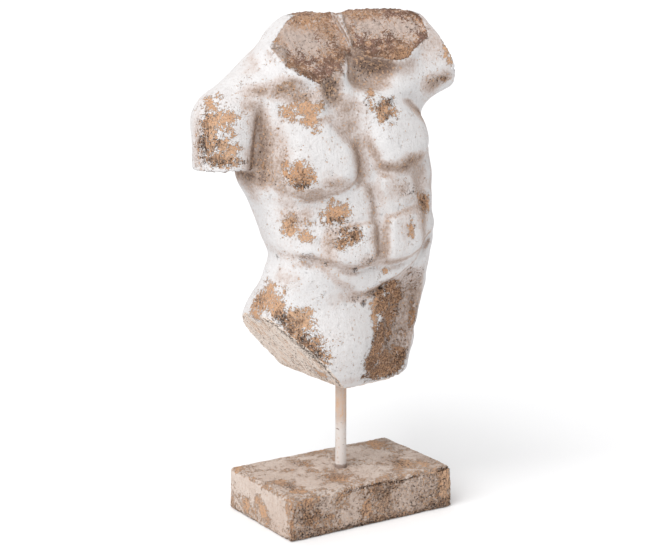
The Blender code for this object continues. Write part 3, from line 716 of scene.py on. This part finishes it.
def bake(obj):
    """Keep what the object's modifiers make as its mesh."""
    bpy.context.view_layer.update()
    graph = bpy.context.evaluated_depsgraph_get()
    mesh = bpy.data.meshes.new_from_object(obj.evaluated_get(graph))
    mesh.name = obj.name
    obj.modifiers.clear()
    old, obj.data = obj.data, mesh
    bpy.data.meshes.remove(old)


def run_tree(obj, tree, **values):
    """Run the tree on the object with these inputs and keep the result as its mesh."""
    mod = obj.modifiers.new(tree.name, "NODES")
    mod.node_group = tree
    for item in tree.interface.items_tree:
        if item.in_out == "INPUT" and item.name in values:
            mod[item.identifier] = values[item.name]
    bake(obj)


def link(name, data):
    obj = bpy.data.objects.new(name, data)
    bpy.context.scene.collection.objects.link(obj)
    return obj


def points_of(mesh):
    co = np.empty(len(mesh.vertices) * 3, np.float32)
    mesh.vertices.foreach_get("co", co)
    return co.reshape(-1, 3).astype(float)


def keep_values(mesh, **values):
    """Keep one number a point under each name, for the trees and the materials."""
    for name, numbers in values.items():
        attribute = mesh.attributes.new(name, "FLOAT", "POINT")
        attribute.data.foreach_set("value", np.ascontiguousarray(numbers, np.float32))


def figure_mesh(name, step):
    """The figure's surface in even quads, laid on its form, with points, normals and steepness in parts."""
    low, high = np.array([-156.0, -76.0, 116.0]), np.array([130.0, 86.0, 478.0])
    axes = [np.arange(low[i], high[i], step) for i in range(3)]
    P = np.stack(np.meshgrid(*axes, indexing="ij"), -1)
    distance = torso(P).astype(np.float32)
    grid = openvdb.FloatGrid(float(distance.max()))
    grid.copyFromArray(distance)
    points, quads = grid.convertToQuads(0.0)
    mesh = bpy.data.meshes.new(name)
    mesh.from_pydata((points * step + low).tolist(), [], quads[:, ::-1].tolist())
    bm = bmesh.new()
    bm.from_mesh(mesh)
    bmesh.ops.recalc_face_normals(bm, faces=bm.faces)
    bm.to_mesh(mesh)
    bm.free()
    obj = link(name, mesh)
    mod = obj.modifiers.new("Finer", "SUBSURF")
    mod.levels = mod.render_levels = 1
    bake(obj)
    P = points_of(obj.data)
    for _ in range(2):
        slope = np.stack([torso(P + way) - torso(P - way) for way in np.eye(3) * 0.4], 1) / 0.8
        steep = np.sqrt((slope ** 2).sum(1))
        normals = slope / np.maximum(steep, 1e-6)[:, None]
        P = P - normals * np.clip(torso(P) / np.maximum(steep, 0.3), -1.5, 1.5)[:, None]
    return obj, P, normals, np.maximum(steep, 0.3)


def length(name, about, value):
    return FloatProperty(name=name, description=about, default=value, unit="LENGTH", subtype="DISTANCE")


def tint(name, about, *value):
    return FloatVectorProperty(name=name, description=about, default=value, subtype="COLOR")


class TorsoProperties(bpy.types.PropertyGroup):
    grain: FloatProperty(name="Surface step", default=3.5, min=2.5, max=8.0,
                         description="Spacing of the coarse surface grid, in parts of the figure")
    film: length("Wash thickness", "Step down from the wash to the bare cast", 0.0004)
    coarse: length("Break roughness", "Depth of the coarse relief on broken faces", 0.0022)
    pits: length("Pit depth", "Depth of the pits and specks", 0.0012)


class ColourProperties(bpy.types.PropertyGroup):
    wash: tint("Wash", "White wash where it is thick", 0.72, 0.705, 0.705)
    wash_shade: tint("Thin wash", "White wash where it is brushed thin", 0.65, 0.62, 0.61)
    # Laid on by how closed the surface is, blush, soil and smudge paint the shade of the hollows as well as
    # their soiling
    blush_and_shade: tint("Blush", "Pinkish wash in the hollows", 0.58, 0.49, 0.45)
    soil_and_shade: tint("Soil", "Brown soiling in the valleys", 0.37, 0.27, 0.215)
    smudge_and_shade: tint("Smudge", "Grey brown in the deepest folds", 0.19, 0.125, 0.095)
    clay: tint("Cast", "Bare tan cast", 0.54, 0.31, 0.18)
    clay_light: tint("Light cast", "Bare cast where it is rubbed", 0.62, 0.40, 0.26)
    earth: tint("Dark cast", "Dark brown in scratched patches", 0.17, 0.093, 0.056)
    mauve: tint("Broken cast", "Mauve brown on the broken faces", 0.26, 0.150, 0.112)
    cream: tint("Cream", "Pale face of the sawn thigh", 0.80, 0.70, 0.62)
    soot: tint("Specks", "Nearly black specks", 0.035, 0.026, 0.022)
    soot_thin: tint("Dark smudge", "Grey brown rubbed round the specks", 0.15, 0.10, 0.075)
    chalk: tint("Chalk", "Pale pinkish flecks on the broken faces", 0.62, 0.52, 0.47)
    block_wash: tint("Block wash", "Cream wash on the block", 0.64, 0.55, 0.49)
    block_shade: tint("Thin block wash", "Wash on the block where it is thin", 0.53, 0.42, 0.355)


class RodProperties(bpy.types.PropertyGroup):
    diameter: length("Diameter", "Thickness of the rod", ROD_HIGH.x - ROD_LOW.x)
    paint: tint("Paint", "Beige paint on the rod", 0.54, 0.48, 0.445)
    chalk: tint("Chalk", "Pale splashes on the lower half", 0.68, 0.64, 0.615)


class BlockProperties(bpy.types.PropertyGroup):
    width: length("Width", "Size along X", BASE_HIGH.x - BASE_LOW.x)
    depth: length("Depth", "Size along Y", BASE_HIGH.y - BASE_LOW.y)
    height: length("Height", "Size along Z", BASE_HIGH.z - BASE_LOW.z)
    edge: length("Edge", "Radius of the worn edges", 0.0045)
    pitch: length("Facet", "Spacing of the points on the faces", 0.0013)
    seed: IntProperty(name="Seed", description="Turns the pattern of chips", default=3)


class StageProperties(bpy.types.PropertyGroup):
    floor: tint("Floor", "Pale floor", 0.92, 0.92, 0.925)
    key: FloatProperty(name="Key light", description="Strength of the main soft light", default=2.5, min=0.0)
    sky: FloatProperty(name="Surround", description="Strength of the light all round", default=0.65, min=0.0)


def check_mesh(obj):
    """Stop if a piece came out empty or nearly so."""
    if len(obj.data.polygons) < FEWEST_FACES:
        raise RuntimeError(f"{obj.name} came out empty")


class TORSO_OT_cast(bpy.types.Operator):
    """Make the figure's surface with its flaked wash and broken faces"""
    bl_idname = "torso.cast"
    bl_label = "Make torso"

    def execute(self, context):
        sizes, colours = context.scene.torso_sizes, context.scene.torso_colours
        grain = sizes.grain * 1.0
        obj, P, normals, steep = figure_mesh("torso_cast_surface", grain)
        check_mesh(obj)
        # How closed the surface is round each point, kept as grime and shade, paints the shade of the hollows
        # as well as their brown soiling
        closed, sharp = hollows(P, normals, steep)
        raw, sawn, rim, tan = breaks(P, normals)
        # The inside of the thigh's break is darkened along with the hollows
        scoop = unit(1.5 - np.abs(thigh_scoop(P)) / 4) * (P[:, 1] < 20) * step(250, 205, P[:, 2])
        closed = closed * (1 - 0.75 * unit(blots(P, FOLDS_EASED))) * (1 - 0.3 * step(0, 30, P[:, 1]))
        closed = 1 - (1 - closed) * (1 - blots(P, SOIL_AND_SHADE)) * (1 - 0.62 * scoop)
        wear = np.maximum(0.95 * blots(P, FLAKED), 0.30 * unit(sharp * 1.6))
        wear = np.maximum(wear, 0.16 + 0.05 * (P[:, 1] > 20))
        pale = np.maximum(blots(P, SCRAPED), 0.55 * blots(P, OCHRE) * (P[:, 2] > 435))
        world = (P - np.array([0, 0, FOOT_PARTS])) * PART
        world[:, 2] = np.maximum(world[:, 2], 0) + TORSO_LOW.z
        obj.data.vertices.foreach_set("co", np.ascontiguousarray(world, np.float32).ravel())
        obj.data.update()
        keep_values(obj.data, wear=wear, stain=np.maximum(blots(P, STAINS_AND_SHADE), rim), grime=closed, raw=raw,
                    sawn=sawn, edge=sharp, pale=pale, tan=tan)
        wash = colours.wash, colours.wash_shade, colours.blush_and_shade
        finish = cast_material("torso_wash", colours, wash, (1.0, 1.0, 0.3))
        run_tree(obj, relief_tree("Flaked relief"), Film=sizes.film, Coarse=sizes.coarse, Pits=sizes.pits,
                 Lumps=0.0005, Finish=finish)
        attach(obj, "root")
        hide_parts("torso")
        return {"FINISHED"}


def rod_tree():
    """Geometry nodes for a round bar with the slight lumps of thick paint."""
    t, given = open_tree("Painted rod", {"Diameter": 0.0106, "Low": 0.011, "High": 0.185, "Lump": 0.00012},
                         "Finish", "NodeSocketMaterial")
    line = t.node("GeometryNodeCurvePrimitiveLine",
                  sockets={"Start": t.joined(Z=given["Low"]), "End": t.joined(Z=given["High"])})
    line = t.node("GeometryNodeResampleCurve", {"mode": "LENGTH"}, {"Curve": line, "Length": 0.0015})
    ring = t.node("GeometryNodeCurvePrimitiveCircle",
                  sockets={"Resolution": 48, "Radius": given["Diameter"] * 0.5})
    bar = t.node("GeometryNodeCurveToMesh", sockets={"Curve": line, "Profile Curve": ring, "Fill Caps": True})
    sink = given["Lump"] * t.noise(t.node("GeometryNodeInputPosition"), 240, 3)
    return sink_surface(t, bar, sink, given["Finish"])


def rod_material(colours, sizes):
    """Beige paint, paler splashes low down, rubbed spots, a few dark ticks and a painted shadow line at the
    foot.
    """
    mat, t, place = open_material("rod_paint")
    up = t.part(place, 2)
    cloud, fine = t.noise(place, 60, 4, 0.6), t.noise(place, 420, 4, 0.65)
    streak = t.noise(place, 300, 3, 0.6, stretch=(1, 1, 0.2))
    low = (up + 0.03 * (cloud - 0.5)).between(0.093, 0.078)
    worn = (fine + 0.4 * (streak - 0.5)).between(0.60, 0.68)
    # Dark line just above the block: painted shadow of the gap where the rod goes in
    foot = (up + 0.004 * (fine - 0.5)).between(0.0445, 0.0425)
    tick = (t.noise(place, 210, 2, 0.5, stretch=(0.6, 0.6, 2.2)) + 0.05 * low).between(0.73, 0.77)
    paint = t.coats(sizes.paint, ((0.6 * streak + 0.4 * fine).between(0.35, 0.7), colours.clay_light),
                    (low * 0.9, sizes.chalk), (worn * 0.55, colours.clay),
                    (tick.most(foot) * 0.75, colours.earth))
    close_material(t, paint, 0.62 + 0.2 * fine, 0.4, 0.6 * fine + 0.4 * streak - 0.6 * worn, 0.4, 0.0004)
    return mat


class TORSO_OT_rod(bpy.types.Operator):
    """Make the painted rod between the block and the torso"""
    bl_idname = "torso.rod"
    bl_label = "Make rod"

    def execute(self, context):
        sizes, colours = context.scene.torso_rod, context.scene.torso_colours
        obj = link("rod_painted", bpy.data.meshes.new("rod_painted"))
        run_tree(obj, rod_tree(), Diameter=sizes.diameter, Low=ROD_LOW.z, High=ROD_HIGH.z, Lump=0.00015,
                 Finish=rod_material(colours, sizes))
        check_mesh(obj)
        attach(obj, "root")
        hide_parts("rod")
        return {"FINISHED"}


def block_tree():
    """Geometry nodes for a rectangular block with worn, chipped edges and a shallow mouth for the rod."""
    t, given = open_tree("Worn block", {
        "Width": 0.18, "Depth": 0.112, "Height": 0.041, "Edge": 0.0045, "Foot Edge": 0.0022, "Pitch": 0.0013,
        "Chip": 0.0035, "Mouth": 0.0068}, "Seed", "NodeSocketInt")
    size = t.joined(X=given["Width"], Y=given["Depth"], Z=given["Height"])
    count = {f"Vertices {axis}": given[label] / given["Pitch"] + 1.0
             for axis, label in (("X", "Width"), ("Y", "Depth"), ("Z", "Height"))}
    cube = t.node("GeometryNodeMeshCube", sockets={"Size": size, **count})
    place = t.node("GeometryNodeInputPosition")
    share = t.part(place, 2) / given["Height"] + 0.5
    radius = given["Foot Edge"] + (given["Edge"] - given["Foot Edge"]) * share.between(0.1, 0.9)
    limit = t.vector("SUBTRACT", t.scaled(size, 0.5), t.joined(X=radius, Y=radius, Z=radius))
    inner = t.vector("MAXIMUM", t.vector("MINIMUM", place, limit), t.scaled(limit, -1.0))
    out = t.vector("NORMALIZE", t.vector("SUBTRACT", place, inner))
    parts = [t.math("ABSOLUTE", t.part(out, i)) for i in range(3)]
    corner = 1.0 - parts[0].most(parts[1]).most(parts[2])
    turned = t.vector("ADD", place, t.joined(X=given["Seed"] * 1.37))
    chip = (0.6 * t.noise(turned, 42, 4, 0.65) + 0.4 * t.noise(turned, 130, 4, 0.65)).between(0.47, 0.66)
    sink = corner.between(0.0, 0.3) * chip * given["Chip"]
    rounded = t.vector("ADD", inner, t.scaled(out, radius - sink))
    flat = t.vector("LENGTH", t.vector("MULTIPLY", rounded, (1.0, 1.0, 0.0)), output=1)
    dip = (1.0 - flat / given["Mouth"]).between(0.0, 0.25) * share.between(0.96, 0.99) * MOUTH_DEPTH
    down = t.joined(Z=-1.0 * dip + given["Height"] * 0.5)
    shaped = t.node("GeometryNodeSetPosition",
                    sockets={"Geometry": cube, "Position": t.vector("ADD", rounded, down)})
    real = t.node("GeometryNodeRealizeInstances", sockets={"Geometry": shaped})
    t.node("NodeGroupOutput", sockets={"Geometry": real})
    return t.tree


def band(P, line, width):
    """1 on a line of points and 0 beyond the width."""
    best = np.full(len(P), 1e9)
    for a, b in zip(line[:-1], line[1:]):
        a, b = np.array(a, float), np.array(b, float)
        h = unit(((P - a) @ (b - a)) / ((b - a) @ (b - a)))
        best = np.minimum(best, np.sqrt(((P - a - h[:, None] * (b - a)) ** 2).sum(1)))
    return unit(1 - best / width)


# Patches of the block, laid out on each face in mm: along, up or back, half sizes and strength
FRONT_BARE = (
    (-71, 35, 19, 8, 1.05), (-76, 40, 14, 5, 1), (-36, 36, 9, 8, 0.95), (-7, 18, 9, 11, 1.1),
    (-8, 38, 6, 5, 0.8), (13, 23, 11, 9, 0.7), (-47, 18, 9, 8, 0.8), (-69, 19, 15, 11, 0.85),
    (-62, 21, 10, 9, 0.8), (81, 28, 8, 13, 1.15), (0, 33, 11, 6, 0.7), (-38, 8, 3, 6, 0.8),
    (61, 9, 11, 6, 0.6),
)
FRONT_DARK = (
    (-69, 19, 15, 9, 0.8), (15, 29, 14, 9, 0.8), (66, 27, 9, 13, 0.7), (-17, 1, 25, 3, 0.9),
    (74, 5, 15, 5, 0.8), (-76, 7, 10, 5, 0.7), (44, 39, 6, 3, 0.9), (55, 18, 11, 9, 0.55),
)
FRONT_CREAM = (
    (44, 25, 17, 14, 1), (-28, 12, 9, 9, 1), (-52, 32, 10, 8, 0.8), (-24, 26, 9, 9, 0.7),
    (28, 11, 11, 6, 0.9),
)
LEFT_BARE = (
    (46, 28, 6, 10, 0.8), (25, 15, 8, 11, 1), (4, 25, 8, 8, 0.9), (-7, 16, 10, 9, 1.05),
    (-49, 32, 8, 12, 0.9), (-41, 43, 11, 5, 0.7), (11, 9, 9, 6, 0.7), (49, 10, 7, 8, 0.6),
)
LEFT_CREAM = (
    (31, 31, 21, 9, 1), (10, 34, 15, 9, 0.9), (-27, 26, 12, 11, 1), (-19, 35, 14, 8, 0.8),
)
TOP_BARE = (
    (66, 38, 15, 17, 1), (-22, -31, 14, 15, 0.95), (-21, 23, 11, 16, 0.85), (-71, -10, 11, 17, 0.85),
    (55, -25, 14, 17, 0.9), (-49, 53, 17, 11, 0.75), (-82, 51, 9, 16, 0.9), (-1, -18, 8, 12, 0.8),
    (-74, -40, 15, 10, 0.95), (71, -36, 8, 15, 0.8), (7, 46, 8, 11, 0.7), (-85, 15, 7, 16, 0.7),
    (67, 20, 8, 12, 0.7), (-55, 23, 6, 10, 0.5),
)
TOP_DARK = (
    (52, -18, 8, 14, 1), (-71, -24, 7, 9, 1), (-31, 27, 8, 10, 0.9), (-23, -22, 11, 9, 0.8),
    (81, -30, 6, 12, 0.7), (-32, -9, 5, 8, 0.5),
)
TOP_CREAM = (
    (38, 26, 9, 20, 1), (-11, 22, 8, 16, 0.9), (-49, -14, 10, 15, 0.9), (-50, 42, 11, 15, 0.8),
    (13, -27, 14, 11, 0.8), (44, 5, 12, 16, 1), (78, -11, 8, 16, 0.8), (-39, -42, 9, 7, 0.8),
    (-68, 15, 10, 10, 0.7),
)


def spots(along, up, marks):
    """How strongly a point of a flat face lies in any of the patches, as for the figure."""
    best = np.zeros(len(along))
    for a, b, wide, high, strength in marks:
        reach = np.hypot((along * 1000 - a) / wide, (up * 1000 - b) / high)
        best = np.maximum(best, strength * unit(1 - 0.5 * reach))
    return best


def block_values(P, sizes):
    """Wear, staining, soiling, edge and rawness over the block, in metres from the middle of its underside;
    the front face gets more of the first three, which paints its shade as well as its dirt, and the ring
    round the rod paints the shadow of the gap there.
    """
    x, y, z = P.T
    w, d, h = sizes.width / 2, sizes.depth / 2, sizes.height
    gaps = np.sort(np.stack([w - np.abs(x), d - np.abs(y), np.minimum(z, h - z)], 1), 1)
    edge = unit(1 - gaps[:, 1] / 0.006)
    top = unit((z - h + 0.004) / 0.003)
    front = unit((-d + 0.002 - y) / 0.001) * (1 - top)
    left = unit((-w + 0.002 - x) / 0.001) * (1 - top)
    low = unit(1 - z / 0.012) * (1 - top)
    # Ring round the rod on the top, darkened through staining and soiling: painted shadow of the gap where
    # the rod goes in
    foot = unit(1 - np.hypot(x, y) / 0.011) * top
    crack = np.maximum(band(P, ((-0.030, -d, h - 0.004), (0.0, -d, h - 0.002), (0.030, -d, h - 0.005),
                                (0.052, -d, h - 0.003)), 0.004),
                       band(P, ((0.075, -d, h - 0.002), (w, -d + 0.004, h - 0.003)), 0.004))
    wear = 0.10 * edge + 0.42 * (1 - top) * (1 - front) * (1 - left)
    # Least wear by face: the front gets the most bare cast, partly its own patches and partly painted shade
    for face, least, place, bare, cream in (
            (top, 0.44, (x, y), TOP_BARE, TOP_CREAM), (front, 0.52, (x, z), FRONT_BARE, FRONT_CREAM),
            (left, 0.40, (y, z), LEFT_BARE, LEFT_CREAM)):
        wear += face * np.maximum(least, 0.98 * spots(*place, bare)) * (1 - 0.7 * spots(*place, cream))
    wear = np.maximum(wear, 0.8 * band(P, ((w - 0.012, -d, h - 0.006), (w - 0.004, -d, 0.010)), 0.012))
    top_dark, front_dark = spots(x, y, TOP_DARK), spots(x, z, FRONT_DARK)
    # The front face gets more staining and soiling than the top and the left, painting its shade as well as
    # its dirt; the sides darken towards the bottom
    stain = top * (0.06 + 0.55 * top_dark) + front * (0.32 + 0.42 * front_dark) + 0.12 * left + 0.2 * low
    stain = np.maximum(stain, 0.9 * np.maximum(crack, foot))
    grime = top * (0.20 + 0.6 * top_dark) + front * (0.42 + 0.5 * front_dark)
    grime += 0.12 * left + 0.25 * low + 0.5 * foot
    return wear, stain, grime, edge, np.maximum(0.25 * edge, 0.6 * crack)


class TORSO_OT_block(bpy.types.Operator):
    """Make the worn block that carries the rod"""
    bl_idname = "torso.block"
    bl_label = "Make block"

    def execute(self, context):
        sizes, colours = context.scene.torso_block, context.scene.torso_colours
        obj = link("block_worn", bpy.data.meshes.new("block_worn"))
        pitch = sizes.pitch * 1.0
        run_tree(obj, block_tree(), Width=sizes.width, Depth=sizes.depth, Height=sizes.height,
                 Edge=sizes.edge, Pitch=pitch, Chip=CHIP_DEPTH, Seed=sizes.seed,
                 Mouth=context.scene.torso_rod.diameter / 2 + MOUTH_GAP, **{"Foot Edge": FOOT_EDGE})
        check_mesh(obj)
        P = points_of(obj.data)
        wear, stain, grime, edge, raw = block_values(P, sizes)
        none = np.zeros(len(P))
        keep_values(obj.data, wear=wear, stain=stain, grime=grime, raw=raw, sawn=none, edge=edge, pale=none,
                    tan=none + 1)
        wash = colours.block_wash, colours.block_shade, colours.block_shade
        finish = cast_material("block_wash", colours, wash, (1.0, 1.0, 0.4), cloudy=1.0, soft=0.04)
        run_tree(obj, relief_tree("Block relief"), Film=0.0004, Coarse=0.0010, Pits=0.0013, Lumps=0.0004,
                 Finish=finish)
        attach(obj, "root")
        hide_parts("base")
        return {"FINISHED"}


class TORSO_OT_stage(bpy.types.Operator):
    """Lay the pale floor and place the lights and the camera"""
    bl_idname = "torso.stage"
    bl_label = "Make stage"

    def execute(self, context):
        scene, sizes = context.scene, context.scene.torso_stage
        mesh = bpy.data.meshes.new("floor")
        r = FLOOR_REACH
        mesh.from_pydata([(-r, -r, 0), (r, -r, 0), (r, r, 0), (-r, r, 0)], [], [(0, 1, 2, 3)])
        floor = link("floor", mesh)
        mat = bpy.data.materials.new("floor_pale")
        mat.use_nodes = True
        shader = mat.node_tree.nodes["Principled BSDF"]
        shader.inputs["Base Color"].default_value = (*sizes.floor, 1)
        shader.inputs["Roughness"].default_value = 0.9
        mesh.materials.append(mat)
        scene.world = bpy.data.worlds.new("studio")
        scene.world.use_nodes = True
        sky = scene.world.node_tree.nodes["Background"]
        sky.inputs["Color"].default_value = (1, 1, 1, 1)
        sky.inputs["Strength"].default_value = sizes.sky
        scene.view_settings.view_transform = "Standard"
        lamp = bpy.data.lights.new("key", "SUN")
        lamp.energy, lamp.angle = sizes.key, SUN_SPREAD
        link("key", lamp).rotation_euler = Vector(SUN_WAY).to_track_quat("-Z", "Y").to_euler()
        back = Vector((math.sin(AZIMUTH) * math.cos(ELEVATION), -math.cos(AZIMUTH) * math.cos(ELEVATION),
                       math.sin(ELEVATION)))
        right = Vector((math.cos(AZIMUTH), math.sin(AZIMUTH), 0))
        up = back.cross(right)
        target = Vector((0, 0, AIM_HEIGHT)) - AIM_ASIDE * right - AIM_UP * up
        lens = bpy.data.cameras.new("camera")
        lens.sensor_width, lens.lens = 36.0, LENS
        camera = link("camera", lens)
        turn_to = Matrix((right, up, back)).transposed().to_4x4()
        camera.matrix_world = Matrix.Translation(target + back * DISTANCE) @ turn_to
        scene.camera = camera
        return {"FINISHED"}


class TORSO_PT_panel(bpy.types.Panel):
    bl_idname = "TORSO_PT_panel"
    bl_label = "Weathered torso"
    bl_space_type = "VIEW_3D"
    bl_region_type = "UI"
    bl_category = "Torso"

    def draw(self, context):
        scene = context.scene
        for group, operator in (("torso_sizes", "torso.cast"), ("torso_rod", "torso.rod"),
                                ("torso_block", "torso.block"), ("torso_stage", "torso.stage")):
            box = self.layout.box()
            settings = getattr(scene, group)
            for name in settings.__annotations__:
                box.prop(settings, name)
            box.operator(operator)
        box = self.layout.box()
        for name in ColourProperties.__annotations__:
            box.prop(scene.torso_colours, name)


GROUPS = {"torso_sizes": TorsoProperties, "torso_colours": ColourProperties, "torso_rod": RodProperties,
          "torso_block": BlockProperties, "torso_stage": StageProperties}
CLASSES = (*GROUPS.values(), TORSO_OT_cast, TORSO_OT_rod, TORSO_OT_block, TORSO_OT_stage, TORSO_PT_panel)


def register():
    for cls in CLASSES:
        bpy.utils.register_class(cls)
    for name, cls in GROUPS.items():
        setattr(bpy.types.Scene, name, PointerProperty(type=cls))


def unregister():
    for name in GROUPS:
        delattr(bpy.types.Scene, name)
    for cls in reversed(CLASSES):
        bpy.utils.unregister_class(cls)


def main():
    register()
    bpy.ops.torso.cast()
    bpy.ops.torso.rod()
    bpy.ops.torso.block()
    bpy.ops.torso.stage()


if __name__ == "__main__":
    main()
